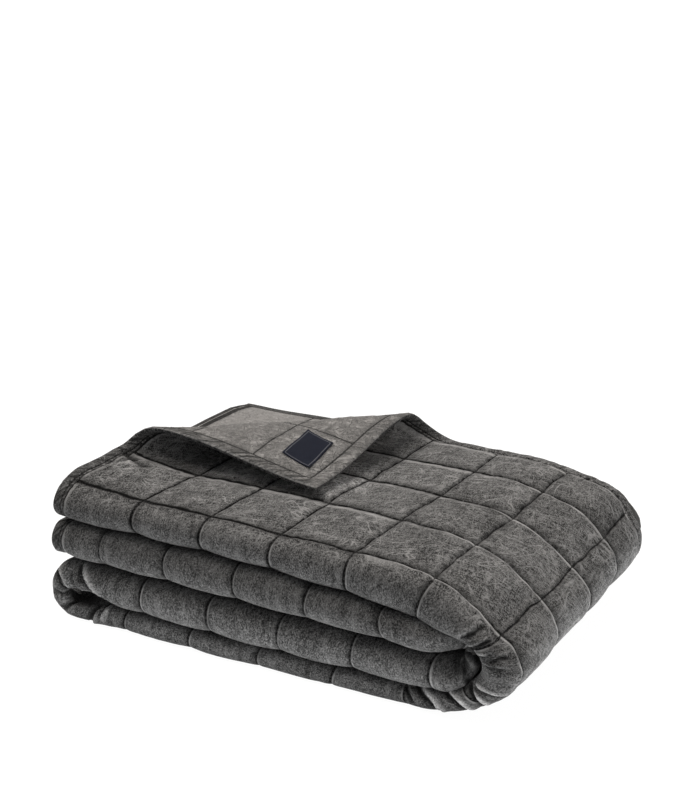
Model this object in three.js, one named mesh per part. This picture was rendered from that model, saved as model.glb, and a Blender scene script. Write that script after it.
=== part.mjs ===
// A quilted bedspread, folded twice along and twice across, with one top corner turned back.
// Units are millimetres and +Z is up. The long front edge runs along X and the back is at +Y.
import * as THREE from 'three';

// The cloth laid flat: u runs along its length and v across its width
const LENGTH = 2500;
const WIDTH = 1800;
const CELL = 100;
const HEM = 15;
// Stitched lines from the first edges, uneven as the photograph shows them. One each square follows after these
const SHOWN_LINES_U = [
  127, 228, 328, 432, 529, 615, 724, 821, 918, 1017, 1115, 1214,
  1334, 1455, 1548, 1640, 1731, 1826, 1918, 2017, 2117, 2217, 2320, 2420,
];
const SHOWN_LINES_V = [104, 200, 304, 416, 515];

// Half thicknesses, as shares of the distance between two stacked sheets
const STITCH_SHARE = 0.18;
const PUFF_SHARE = 0.46;
const HEM_SHARE = 0.26;
const FREE_PUFF_SHARE = 0.75;
const PUFF_SHAPE = 0.55;
// A fold is pinched thin where its two sides lie closer than these gaps
const PINCH = 0.93;
const SMALL_FOLD_PINCH = 0.3;
const PINCH_GAP = { none: 30, full: 15 };

// Four layers from the top, each of four sheets. `outer` is +1 where the outermost sheet lies on top
const LAYERS = [
  { pitch: 10.5, outer: 1, frontSet: 0 },
  { pitch: 12.5, outer: -1, frontSet: -4 },
  { pitch: 13.5, outer: 1, frontSet: -1 },
  { pitch: 7, outer: -1, frontSet: 3 },
];
const SHEETS_PER_LAYER = 4;
const OUTERMOST = 1.5;
const BOTTOM_SHEET_HEIGHT = 1.2;

// Where the folded strip runs along X, and its round folds at the right and left ends.
// `reach` is how far the strip's middle goes past the fold's centre, `spread` the step between sheets,
// `widest` the height where it reaches farthest, a `belly` under 1 is fuller beyond that height, and `recess`
// is how far its front lies behind that of its layers
const HEM_X = { first: -126, last: -130 };
const FOLDS = {
  wrap: { from: 0, to: 3, x: 340, side: 1, reach: 134, spread: 12, widest: 76, outside: 1, belly: 0.75, recess: 0 },
  left: { from: 3, to: 2, x: -106, side: -1, reach: 21, spread: 10, widest: 28, outside: 1, belly: 1, recess: 0 },
  inner: { from: 2, to: 1, x: 405, side: 1, reach: 30, spread: 5.3, widest: 80, outside: -1, belly: 1, recess: 12 },
};
// Stretches of the length in order, with the place along it where each one ends
const PATH = [
  { run: 0, from: HEM_X.first, to: FOLDS.wrap.x, end: 478 },
  { fold: FOLDS.wrap, end: 846 },
  { run: 3, from: FOLDS.wrap.x, to: FOLDS.left.x, end: 1290 },
  { fold: FOLDS.left, end: 1350 },
  { run: 2, from: FOLDS.left.x, to: FOLDS.inner.x, end: 1832 },
  { fold: FOLDS.inner, end: 1948 },
  { run: 1, from: FOLDS.inner.x, to: HEM_X.last, end: LENGTH },
];

// The section across: two lengthwise folds at the front and one at the back
const FRONT_FOLD_V = WIDTH / 4;
const BACK_FOLD_V = WIDTH / 2;
const FRONT_FOLD_Y = 90;
const FOLD_PITCH = 10.8;
const FRONT_FOLD_REACH = 17.5;
const SMALL_FOLD_REACH = 5.4;
const FRONT_HALF = (Math.PI * OUTERMOST * FOLD_PITCH) / 2;
const SMALL_HALF = (Math.PI * 0.5 * FOLD_PITCH) / 2;
const FRONT = { start: FRONT_FOLD_V - FRONT_HALF, end: FRONT_FOLD_V + FRONT_HALF };
const BACK = { start: BACK_FOLD_V - SMALL_HALF, end: BACK_FOLD_V + SMALL_HALF };
const DEPTH = BACK.start - FRONT.end;
const INNER = { start: BACK.end + DEPTH, end: BACK.end + DEPTH + 2 * SMALL_HALF };

// The stack is higher at its open left end and leans towards the fold at the right.
// Heights of the faces between the layers, and of the top, at three places along X
const LEVELS = [
  { x: -120, bottom: 0, low: 34, middle: 88, high: 138, top: 178 },
  { x: 200, bottom: 0, low: 28, middle: 82, high: 132, top: 174 },
  { x: 420, bottom: 0, low: 28, middle: 73, high: 112, top: 169 },
];
const LEVEL_NAMES = ['bottom', 'low', 'middle', 'high', 'top'];
const TOP_TURN = -0.02;
const TURN_CENTRE_Y = 300;

// The corner that is turned back over the top: a soft curl about a slanting line
const CURL = {
  cornerX: -126, cornerY: 515, distance: 259, direction: -45.3, length: 95, flare: 0.04, flareSpan: 190,
  run: 175, rest: 11.5, stretch: 1.05,
};
// The left hem of the top sheet stands up before it reaches the curl, and so does the second sheet's behind it.
// The places are across the cloth, from its face to the back hem
const HEM_LIFT = { height: 20, fade: 75, riseFrom: 452, riseTo: 392, fallFrom: 335, fallTo: 290, fall: 0.6 };
const SECOND_LIFT = { height: 9, fade: 90, riseFrom: 1560, riseTo: 1640, fallFrom: 1740, fallTo: 1800 };
// The second sheet's corner, seen behind the curl, is drawn out to the left
const SECOND_SHEET = { from: INNER.end, shift: -26, fade: 420 };

// The label on the back cloth of the turned corner
const LABEL = {
  u: { from: 36, to: 108, count: 3 },
  v: { from: 35, to: 79, count: 2 },
  gap: 0.3,
  thickness: 1,
};

// Columns of points along the length: each row goes on to a place in a number of steps
const TURNED_CORNER = 380;
const halfSquares = (first, last) => SHOWN_LINES_U.slice(first, last + 1).map((to) => ({ to, count: 2 }));
const ALONG = [
  { to: HEM, count: 2 },
  { to: LABEL.u.from, count: 1 },
  { to: LABEL.u.to, count: LABEL.u.count },
  { to: SHOWN_LINES_U[0], count: 1 },
  { to: SHOWN_LINES_U[1], count: 4 },
  { to: SHOWN_LINES_U[2], count: 4 },
  { to: TURNED_CORNER, count: 2 },
  { to: SHOWN_LINES_U[3], count: 1 },
  { to: SHOWN_LINES_U[4], count: 2 },
  { to: SHOWN_LINES_U[5], count: 4 },
  { to: SHOWN_LINES_U[6], count: 4 },
  ...halfSquares(7, 11),
  { to: 1290, count: 2 },
  { to: 1350, count: 6 },
  ...halfSquares(13, 17),
  { to: 1832, count: 1 },
  { to: 1948, count: 8 },
  ...halfSquares(19, 23),
  { to: LENGTH - HEM, count: 2 },
  { to: LENGTH, count: 2 },
];
// Points across a column, for the columns at the label, at the turned corner and everywhere else
const ACROSS = [
  { to: HEM, label: 2, corner: 2, other: 2 },
  { to: LABEL.v.from, label: 1, corner: 0, other: 0 },
  { to: LABEL.v.to, label: LABEL.v.count, corner: 0, other: 0 },
  { to: SHOWN_LINES_V[0], label: 2, corner: 2, other: 2 },
  { to: SHOWN_LINES_V[1], label: 4, corner: 4, other: 2 },
  { to: SHOWN_LINES_V[2], label: 4, corner: 4, other: 2 },
  { to: 360, label: 2, corner: 2, other: 1 },
  { to: SHOWN_LINES_V[3], label: 1, corner: 1, other: 1 },
  { to: FRONT.start, label: 1, corner: 1, other: 1 },
  { to: FRONT.end, label: 6, corner: 6, other: 6 },
  { to: BACK.start, label: 2, corner: 2, other: 2 },
  { to: BACK.end, label: 4, corner: 4, other: 4 },
  { to: INNER.start, label: 1, corner: 1, other: 1 },
  { to: INNER.end, label: 3, corner: 3, other: 3 },
  { to: 1665, label: 3, corner: 3, other: 3 },
  { to: 1765, label: 2, corner: 2, other: 2 },
  { to: WIDTH - HEM, label: 1, corner: 1, other: 1 },
  { to: WIDTH, label: 2, corner: 2, other: 2 },
];

// The middle of the folded stack, which becomes the origin
const CENTRE = { x: 176, y: 304.5 };

const DEG = Math.PI / 180;
const SMALL_STEP = 0.5;
const FOLD_STEPS = 60;
const clamp = (value, low, high) => Math.min(high, Math.max(low, value));
const mix = (a, b, t) => a + (b - a) * t;
const smooth = (t) => t * t * (3 - 2 * t);

// Heights of the middle of each layer in the unsettled stack
function layerMiddles() {
  const middles = [];
  const bottom = LAYERS[LAYERS.length - 1].pitch;
  let height = BOTTOM_SHEET_HEIGHT - bottom / 2;
  for (let i = LAYERS.length - 1; i >= 0; i -= 1) {
    const thickness = SHEETS_PER_LAYER * LAYERS[i].pitch;
    middles[i] = height + thickness / 2;
    height += thickness;
  }
  return middles;
}
const MIDDLES = layerMiddles();
const sheetHeight = (layer, sheet) => MIDDLES[layer] + LAYERS[layer].outer * sheet * LAYERS[layer].pitch;

// Share of a fold's reach at an angle round it
function foldReach(fold, angle) {
  return Math.max(0, Math.sin(angle)) ** (angle < Math.PI / 2 ? 1 : fold.belly);
}

// Angle round a fold for a share of its length, so that the cloth isn't stretched there
function foldAngle(fold, share) {
  const steps = FOLD_STEPS;
  const reach = fold.reach + OUTERMOST * fold.spread;
  const from = Math.abs(sheetHeight(fold.from, OUTERMOST * fold.outside) - fold.widest);
  const to = Math.abs(sheetHeight(fold.to, OUTERMOST * fold.outside) - fold.widest);
  const height = (angle) => Math.cos(angle) * (angle < Math.PI / 2 ? from : to);
  const point = (angle) => [reach * foldReach(fold, angle), height(angle)];
  const lengths = [0];
  for (let i = 1; i <= steps; i += 1) {
    const [x0, z0] = point((Math.PI * (i - 1)) / steps);
    const [x1, z1] = point((Math.PI * i) / steps);
    lengths.push(lengths[i - 1] + Math.hypot(x1 - x0, z1 - z0));
  }
  const target = share * lengths[steps];
  let i = 0;
  while (i < steps - 1 && lengths[i + 1] < target) i += 1;
  return (Math.PI * (i + (target - lengths[i]) / (lengths[i + 1] - lengths[i]))) / steps;
}

// Place along the section: y, which sheet as a number from -1.5 to 1.5, and how free its face is
function section(v) {
  const turn = (fold) => (Math.PI * (v - fold.start)) / (fold.end - fold.start);
  if (v <= FRONT.start) return { y: FRONT.start - v, sheet: OUTERMOST, open: 0 };
  if (v < FRONT.end) {
    const angle = turn(FRONT);
    const y = -FRONT_FOLD_REACH * Math.sin(angle);
    return { y, sheet: OUTERMOST * Math.cos(angle), open: Math.sin(angle) };
  }
  if (v <= BACK.start) return { y: v - FRONT.end, sheet: -OUTERMOST, open: 0 };
  if (v < BACK.end) {
    const angle = turn(BACK);
    const y = DEPTH + SMALL_FOLD_REACH * Math.sin(angle);
    return { y, sheet: -1 - 0.5 * Math.cos(angle), open: 0, tight: Math.sin(angle) };
  }
  if (v <= INNER.start) return { y: DEPTH - (v - BACK.end), sheet: -0.5, open: 0 };
  if (v < INNER.end) {
    const angle = turn(INNER);
    const y = -SMALL_FOLD_REACH * Math.sin(angle);
    return { y, sheet: -0.5 * Math.cos(angle), open: 0, tight: Math.sin(angle) };
  }
  return { y: v - INNER.end, sheet: 0.5, open: 0 };
}

// Place along the strip for one sheet: x, z, the pitch there and how far the front is set back
function strip(u, sheet) {
  let start = 0;
  for (const stretch of PATH) {
    if (u <= stretch.end || stretch.end === LENGTH) {
      const share = (u - start) / (stretch.end - start);
      return stretch.fold ? onFold(stretch.fold, share, sheet) : onRun(stretch, share, sheet);
    }
    start = stretch.end;
  }
  return null;
}

function onRun(stretch, share, sheet) {
  const { pitch, frontSet } = LAYERS[stretch.run];
  const x = mix(stretch.from, stretch.to, share);
  const open = stretch.run === 0 && sheet === OUTERMOST ? 1 : 0;
  return { x, z: sheetHeight(stretch.run, sheet), pitch, frontSet, open, tight: 0 };
}

function onFold(fold, share, sheet) {
  const angle = foldAngle(fold, share);
  const reach = fold.reach + fold.outside * sheet * fold.spread;
  const near = sheetHeight(fold.from, sheet) - fold.widest;
  const far = fold.widest - sheetHeight(fold.to, sheet);
  const z = fold.widest + Math.cos(angle) * (angle < Math.PI / 2 ? near : far);
  const turned = (1 - Math.cos(angle)) / 2;
  const sideways = Math.sin(angle) ** 2;
  const pitch = mix(LAYERS[fold.from].pitch, LAYERS[fold.to].pitch, turned);
  const frontSet = mix(LAYERS[fold.from].frontSet, LAYERS[fold.to].frontSet, turned);
  const open = fold === FOLDS.wrap && sheet === OUTERMOST ? 1 : 0;
  const gap = Math.abs(near) + Math.abs(far);
  const closeness = clamp((PINCH_GAP.none - gap) / (PINCH_GAP.none - PINCH_GAP.full), 0, 1);
  return {
    x: fold.x + fold.side * reach * foldReach(fold, angle),
    z,
    pitch: Math.min(pitch, mix(pitch, fold.spread, sideways)),
    frontSet: frontSet + fold.recess * sideways,
    open,
    tight: closeness * sideways,
  };
}

// Side view of a soft half turn of length 1: its reach and height at each step
function curlProfile() {
  const points = [[0, 0]];
  for (let i = 1; i <= FOLD_STEPS; i += 1) {
    const angle = Math.PI * smooth((i - 0.5) / FOLD_STEPS);
    const [x, z] = points[i - 1];
    points.push([x + Math.cos(angle) / FOLD_STEPS, z + Math.sin(angle) / FOLD_STEPS]);
  }
  return points;
}
const CURL_PROFILE = curlProfile();

function curlAt(share) {
  const last = CURL_PROFILE.length - 1;
  const place = clamp(share, 0, 1) * last;
  const i = Math.min(last - 1, Math.floor(place));
  const [x0, z0] = CURL_PROFILE[i];
  const [x1, z1] = CURL_PROFILE[i + 1];
  return { x: mix(x0, x1, place - i), z: mix(z0, z1, place - i) };
}

// Turns back what lies past the curl's line on the top sheet
function turnCorner(point) {
  const toCornerX = -Math.cos(CURL.direction * DEG);
  const toCornerY = -Math.sin(CURL.direction * DEG);
  const pastCornerX = point.x - CURL.cornerX;
  const pastCornerY = point.y - CURL.cornerY;
  const past = pastCornerX * toCornerX + pastCornerY * toCornerY + CURL.distance;
  if (past <= 0) return point;
  const along = pastCornerX * toCornerY - pastCornerY * toCornerX;
  const length = CURL.length * (1 + CURL.flare * (along / CURL.flareSpan) ** 2);
  const profile = curlAt(past / length);
  const crest = curlAt(1).z * length;
  const beyond = Math.max(0, past - length);
  const fallen = (1 - Math.cos(Math.PI * Math.min(1, beyond / CURL.run))) / 2;
  const reach = profile.x * length - beyond * CURL.stretch;
  const height = beyond > 0 ? mix(crest, CURL.rest, fallen) : profile.z * length;
  return {
    ...point,
    x: point.x + (reach - past) * toCornerX,
    y: point.y + (reach - past) * toCornerY,
    z: point.z + height,
  };
}

// How far the left hems of the two top sheets are lifted
function hemLift(u, v, sheet) {
  if (u >= PATH[0].end) return 0;
  const lift = v < FRONT.end ? HEM_LIFT : SECOND_LIFT;
  const part = (from, to) => smooth(clamp((v - from) / (to - from), 0, 1));
  const rise = part(lift.riseFrom, lift.riseTo) * (1 - (lift.fall ?? 1) * part(lift.fallFrom, lift.fallTo));
  const top = v < FRONT.end ? clamp(sheet / OUTERMOST, 0, 1) : 1;
  return lift.height * rise * top * Math.exp(-u / lift.fade);
}

// The middle of the cloth's thickness at one place on it
function middle(u, v) {
  const across = section(v);
  const along = strip(u, across.sheet);
  const secondSheet = Math.max(0, v - SECOND_SHEET.from) / (WIDTH - SECOND_SHEET.from);
  const shift = SECOND_SHEET.shift * secondSheet * Math.max(0, 1 - u / SECOND_SHEET.fade);
  const point = {
    x: along.x + shift,
    y: FRONT_FOLD_Y + across.y + along.frontSet,
    z: along.z,
    pitch: along.pitch * (1 - Math.max(PINCH * along.tight, SMALL_FOLD_PINCH * (across.tight ?? 0))),
    open: Math.max(along.open, across.open),
  };
  const placed = across.sheet === OUTERMOST && u < PATH[0].end ? turnCorner(point) : point;
  return { ...placed, z: placed.z + hemLift(u, v, across.sheet) };
}

// Stitched lines along one side of the cloth, from hem to hem
function stitchedLines(length, shown) {
  const lines = [HEM, ...shown];
  for (let line = shown[shown.length - 1] + CELL; line < length - HEM - 1; line += CELL) lines.push(line);
  return [...lines, length - HEM];
}
const LINES_U = stitchedLines(LENGTH, SHOWN_LINES_U);
const LINES_V = stitchedLines(WIDTH, SHOWN_LINES_V);

// How full the filling is at a place between two stitched lines: 0 on a line and 1 halfway
function fullness(place, lines) {
  let i = 0;
  while (i < lines.length - 2 && place > lines[i + 1]) i += 1;
  return Math.sin(Math.PI * clamp((place - lines[i]) / (lines[i + 1] - lines[i]), 0, 1));
}

// Half thickness: thin at the quilting lines, full between them and flat at the hem
function halfThickness(u, v, pitch, open) {
  const puff = Math.abs(fullness(u, LINES_U) * fullness(v, LINES_V)) ** PUFF_SHAPE;
  const edge = Math.min(u, LENGTH - u, v, WIDTH - v);
  if (edge < HEM) return pitch * HEM_SHARE;
  return pitch * mix(STITCH_SHARE, mix(PUFF_SHARE, FREE_PUFF_SHARE, open), puff);
}

// Normal of the cloth's face, from two short steps on its middle surface
function faceNormal(u, v) {
  const at = (a, b) => {
    const { x, y, z } = middle(clamp(a, 0, LENGTH), clamp(b, 0, WIDTH));
    return new THREE.Vector3(x, y, z);
  };
  const alongU = at(u + SMALL_STEP, v).sub(at(u - SMALL_STEP, v));
  const alongV = at(u, v + SMALL_STEP).sub(at(u, v - SMALL_STEP));
  return alongV.cross(alongU).normalize();
}

// The stack as it lies: uneven levels, the top turned a little, flat underneath
function settle(point) {
  const { x, y, z } = point;
  const right = x > LEVELS[1].x ? 2 : 1;
  const [a, b] = [LEVELS[right - 1], LEVELS[right]];
  const share = clamp((x - a.x) / (b.x - a.x), 0, 1);
  const nominal = LEVELS[1];
  let name = 1;
  while (name < LEVEL_NAMES.length - 1 && z > nominal[LEVEL_NAMES[name]]) name += 1;
  const [under, over] = [LEVEL_NAMES[name - 1], LEVEL_NAMES[name]];
  const low = mix(a[under], b[under], share);
  const high = mix(a[over], b[over], share);
  const height = mix(low, high, (z - nominal[under]) / (nominal[over] - nominal[under]));
  const turn = TOP_TURN * clamp(z / nominal.top, 0, 1);
  return new THREE.Vector3(
    x - turn * (y - TURN_CENTRE_Y) - CENTRE.x,
    y + turn * x - CENTRE.y,
    Math.max(0, height),
  );
}

// A point at some distance from the middle of the cloth, along its face's normal
function offsetPoint(u, v, distance) {
  const { x, y, z } = middle(u, v);
  const point = new THREE.Vector3(x, y, z).addScaledVector(faceNormal(u, v), distance);
  return settle(point);
}

function faceAndBack(u, v) {
  const { pitch, open } = middle(u, v);
  const front = halfThickness(u, v, pitch, open);
  const back = halfThickness(u, v, pitch, 0);
  return [offsetPoint(u, v, front), offsetPoint(u, v, -back)];
}

// Places in even steps through the rows of a table, each row giving where it ends and how many steps
function places(rows, countName) {
  const list = [0];
  for (const row of rows) {
    const from = list[list.length - 1];
    for (let i = 1; i <= row[countName]; i += 1) list.push(mix(from, row.to, i / row[countName]));
  }
  return list;
}

// Finer points across a column at the label and at the turned corner
function placesAcross(u) {
  if (u <= SHOWN_LINES_U[0]) return places(ACROSS, 'label');
  return places(ACROSS, u <= TURNED_CORNER ? 'corner' : 'other');
}

// Triangles between two columns of points whose places across differ
function zip(left, right, triangle) {
  let i = 0;
  let j = 0;
  while (i < left.places.length - 1 || j < right.places.length - 1) {
    const nextLeft = left.places[i + 1] ?? Infinity;
    const nextRight = right.places[j + 1] ?? Infinity;
    if (nextRight < nextLeft) {
      triangle(left.first + i, right.first + j, right.first + j + 1);
      j += 1;
    } else {
      triangle(left.first + i, right.first + j, left.first + i + 1);
      i += 1;
    }
  }
}

// A closed solid between a sheet's face and back, from columns of places on the cloth
function sheetGeometry(columns, pointsAt) {
  const positions = [];
  const triangles = [];
  let count = 0;
  for (const column of columns) {
    column.first = count;
    for (const v of column.places) {
      for (const point of pointsAt(column.u, v)) positions.push(...point);
    }
    count += column.places.length;
  }
  const face = (i) => 2 * i;
  const back = (i) => 2 * i + 1;
  for (let i = 0; i < columns.length - 1; i += 1) {
    zip(columns[i], columns[i + 1], (a, b, c) => {
      triangles.push(face(a), face(c), face(b), back(a), back(b), back(c));
    });
  }
  const lastOf = (column) => column.first + column.places.length - 1;
  const inOrder = (column) => column.places.map((_, i) => column.first + i);
  const rim = [
    ...inOrder(columns[0]),
    ...columns.slice(1).map(lastOf),
    ...inOrder(columns[columns.length - 1]).reverse().slice(1),
    ...columns.slice(1, -1).map((column) => column.first).reverse(),
  ];
  rim.forEach((a, i) => {
    const b = rim[(i + 1) % rim.length];
    triangles.push(face(a), back(a), face(b), face(b), back(a), back(b));
  });
  const geometry = new THREE.BufferGeometry();
  geometry.setAttribute('position', new THREE.Float32BufferAttribute(positions, 3));
  geometry.setIndex(triangles);
  geometry.computeVertexNormals();
  return geometry;
}

function quilt() {
  const columns = places(ALONG, 'count').map((u) => ({ u, places: placesAcross(u) }));
  const cloth = new THREE.MeshStandardMaterial({ color: 0x4a4743, roughness: 0.95, metalness: 0 });
  const mesh = new THREE.Mesh(sheetGeometry(columns, faceAndBack), cloth);
  mesh.name = 'quilt';
  return mesh;
}

function label() {
  const stretch = ({ from, to, count }) => {
    const fromZero = places([{ to: to - from, count }], 'count');
    return fromZero.map((place) => from + place);
  };
  const columns = stretch(LABEL.u).map((u) => ({ u, places: stretch(LABEL.v) }));
  const onBack = (u, v) => {
    const { pitch } = middle(u, v);
    const surface = halfThickness(u, v, pitch, 0) + LABEL.gap;
    return [offsetPoint(u, v, -surface), offsetPoint(u, v, -surface - LABEL.thickness)];
  };
  const woven = new THREE.MeshStandardMaterial({ color: 0x1d2433, roughness: 0.8, metalness: 0 });
  const mesh = new THREE.Mesh(sheetGeometry(columns, onBack), woven);
  mesh.name = 'label';
  return mesh;
}

const bedspread = new THREE.Group();
bedspread.add(quilt(), label());

export default bedspread;
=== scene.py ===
"""A quilted bedspread, folded twice along and twice across, with one top corner turned back.

The cloth is worked out in millimetres, as places u along its length and v across its width, and each place
is folded to where it lies in the stack. Blender gets the points in metres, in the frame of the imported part.
"""

import functools
import math
from types import SimpleNamespace

import bpy
import numpy as np
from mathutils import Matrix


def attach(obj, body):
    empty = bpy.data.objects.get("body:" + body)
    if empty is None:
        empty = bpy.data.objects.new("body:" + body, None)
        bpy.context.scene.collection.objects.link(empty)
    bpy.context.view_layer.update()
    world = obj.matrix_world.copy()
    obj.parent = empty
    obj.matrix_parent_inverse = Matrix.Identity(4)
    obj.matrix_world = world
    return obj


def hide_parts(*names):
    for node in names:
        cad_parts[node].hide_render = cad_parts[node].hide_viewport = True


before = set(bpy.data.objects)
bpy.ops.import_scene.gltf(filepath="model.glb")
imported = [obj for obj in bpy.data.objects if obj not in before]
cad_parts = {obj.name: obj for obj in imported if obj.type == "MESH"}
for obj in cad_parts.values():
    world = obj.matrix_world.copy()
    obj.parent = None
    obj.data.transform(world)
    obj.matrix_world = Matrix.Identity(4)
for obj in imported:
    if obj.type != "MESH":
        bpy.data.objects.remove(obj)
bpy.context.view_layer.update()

METRES = 0.001

# The cloth laid flat, and the squares that are stitched into it
LENGTH = 2500
WIDTH = 1800
CELL = 100
HEM = 18
# Stitched lines, uneven as the photograph shows them. Past these there is one for each square
SHOWN_LINES_U = [
    127, 228, 328, 432, 529, 615, 724, 821, 918, 1017, 1115, 1214,
    1334, 1455, 1548, 1640, 1731, 1826, 1918, 2017, 2117, 2217, 2320, 2420,
]
SHOWN_LINES_V = [104, 200, 304, 416, 515]
HEM_ROUND = 3.0
HEM_GROOVE = 2.2

# Half thicknesses, as shares of the distance between two stacked sheets
STITCH_SHARE = 0.18
PUFF_SHARE = 0.46
HEM_SHARE = 0.26
PUFF_SHAPE = 0.55
# The same where the face lies free, and on the rolled front
FREE_STITCH_SHARE = 0.2
FREE_PUFF_SHARE = 0.72
FREE_PUFF_SHAPE = 0.3
FREE_HEM_SHARE = 0.42
ROLL_STITCH_SHARE = 0.37
ROLL_PUFF_SHARE = 0.7
# How far the hem sinks between its two lines, and how thin it is at its very edge
HEM_SINK = 0.4
EDGE_LEAST = 0.02
# Small relief of the free face: wandering seams, puckers beside them and dents
SEAM_WANDER = 1.7
SEAM_PERIOD = 21
PUCKER_WIDTH = 7
PUCKER_PERIOD = 9
PUCKER_RUN = 60
PUCKER_HEIGHT = 0.9
DENT_HEIGHT = 0.7
WIDE_DENT = 40
SMALL_DENT = 17
HEM_PUCKER_HEIGHT = 0.7
HEM_PUCKER_PERIOD = 6
HEM_PUCKER_EDGE = 4
BACK_RELIEF = 0.7
BACK_PATTERN_SHIFT = 0.37
# How far the cloth is pinched in tight folds, and the gaps between which this sets in
PINCH = 0.93
SMALL_FOLD_PINCH = 0.3
PINCH_GAP_NONE = 30
PINCH_GAP_FULL = 15

# Layers from the top: the pitch of their sheets, the outermost sheet's side and how far the front is set back
LAYER_PITCH = np.array([10.5, 12.5, 13.5, 7.0])
LAYER_OUTER = np.array([1, -1, 1, -1])
LAYER_FRONT = np.array([0.0, -4.0, -1.0, 3.0])
SHEETS_PER_LAYER = 4
OUTERMOST = 1.5
BOTTOM_SHEET_HEIGHT = 1.2

# The round folds at the ends of the strip
WRAP = dict(start=0, end=3, x=340, side=1, reach=134, spread=12, widest=76, outside=1, belly=0.75, recess=0)
LEFT = dict(start=3, end=2, x=-106, side=-1, reach=21, spread=10, widest=28, outside=1, belly=1, recess=0)
INSIDE = dict(start=2, end=1, x=405, side=1, reach=30, spread=5.3, widest=80, outside=-1, belly=1, recess=12)
FIRST_HEM_X = -126
LAST_HEM_X = -130
# Stretches of the length: where each one ends, and its run in a layer or its fold
PATH = [
    dict(end=478, run=0, x0=FIRST_HEM_X, x1=WRAP["x"]),
    dict(end=846, fold=WRAP),
    dict(end=1290, run=3, x0=WRAP["x"], x1=LEFT["x"]),
    dict(end=1350, fold=LEFT),
    dict(end=1832, run=2, x0=LEFT["x"], x1=INSIDE["x"]),
    dict(end=1948, fold=INSIDE),
    dict(end=LENGTH, run=1, x0=INSIDE["x"], x1=LAST_HEM_X),
]
TOP_RUN_END = PATH[0]["end"]

# The section across: two lengthwise folds at the front and one at the back
FRONT_FOLD_Y = 90
FOLD_PITCH = 10.8
FRONT_FOLD_REACH = 17.5
SMALL_FOLD_REACH = 5.4
FRONT_HALF = math.pi * OUTERMOST * FOLD_PITCH / 2
SMALL_HALF = math.pi * 0.5 * FOLD_PITCH / 2
FRONT_START, FRONT_END = WIDTH / 4 - FRONT_HALF, WIDTH / 4 + FRONT_HALF
BACK_START, BACK_END = WIDTH / 2 - SMALL_HALF, WIDTH / 2 + SMALL_HALF
DEPTH = BACK_START - FRONT_END
INNER_START = BACK_END + DEPTH
INNER_END = INNER_START + 2 * SMALL_HALF

# Heights of the faces between the layers, and of the top, at three places along X
LEVEL_X = np.array([-120.0, 200.0, 420.0])
LEVELS = np.array([
    [0.0, 34.0, 88.0, 138.0, 178.0],
    [0.0, 28.0, 82.0, 132.0, 174.0],
    [0.0, 28.0, 73.0, 112.0, 169.0],
])
NOMINAL_LEVELS = LEVELS[1]
# Soft waves of the stack: height, periods in two directions, where the noise starts and its seed
FRONT_WAVE = dict(height=2.0, periods=(95, 60), start=0, seed=21)
TOP_WAVE = dict(height=2.0, periods=(110, 110), start=0, seed=22)
BACK_WAVE = dict(height=5.0, periods=(150, 22), start=0, seed=23)
LEFT_WAVE = dict(height=3.0, periods=(140, 24), start=3, seed=24)
WANDER_X = dict(height=1.6, periods=(80, 80), start=0, seed=25)
WANDER_Y = dict(height=1.6, periods=(80, 80), start=9, seed=26)
WANDER_SLANT = 4 / 3
FRONT_WAVE_REACH = 70
END_WAVE_REACH = 90
# The wrap is fuller at the back, and the front is drawn in where the inner fold ends
WRAP_FULL = dict(height=12.0, out=6.0, from_y=280, to_y=500, from_z=40, to_z=100, x=460, width=45)
INSIDE_DEEP = dict(depth=24.0, reach=110, x=428, width=24, z=86, height=26)
TOP_TURN = -0.02
TURN_CENTRE_Y = 300

# The corner that is turned back over the top: a soft curl about a slanting line
CURL_CORNER = np.array([-126.0, 515.0])
CURL_DISTANCE = 259
CURL_DIRECTION = -45.3
CURL_LENGTH = 95
CURL_FLARE = 0.04
CURL_FLARE_SPAN = 190
CURL_RUN = 175
CURL_REST = 11.5
CURL_STRETCH = 1.05
# The left hems of the top sheet and of the second one, behind the curl, stand up
HEM_LIFT = dict(height=20, fade=75, rise_from=452, rise_to=392, fall_from=335, fall_to=290, fall=0.6)
SECOND_LIFT = dict(
    height=9, fade=90, rise_from=1560, rise_to=1640, fall_from=1740, fall_to=1800,
    droop=1, droop_from=1768, droop_in=50, droop_out=300,
)
SECOND_SHEET_SHIFT = -26
SECOND_SHEET_FADE = 420

# The middle of the folded stack, which is the part's origin
CENTRE = np.array([176.0, 304.5])

# Stitches: how far the hem's two lines lie from the edge, and the size of one stitch
HEM_LINES = (13.5, 18)
STITCH_LENGTH = 3.5
STITCH_STEP = 4.4
THREAD_RADIUS = 0.42
THREAD_SINK = 0.2
# Where a stitch leaves the cloth, lies on it and goes back in, as shares of its length
STITCH_SHARES = np.array([-0.5, -0.25, 0.25, 0.5])
# Stitches are made where they show: across the rolls, past the wrap and on the second sheet
ROLL_STITCHES = (405, 487)
PAST_WRAP = 20
SECOND_STITCHES_FROM = 1400

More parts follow.
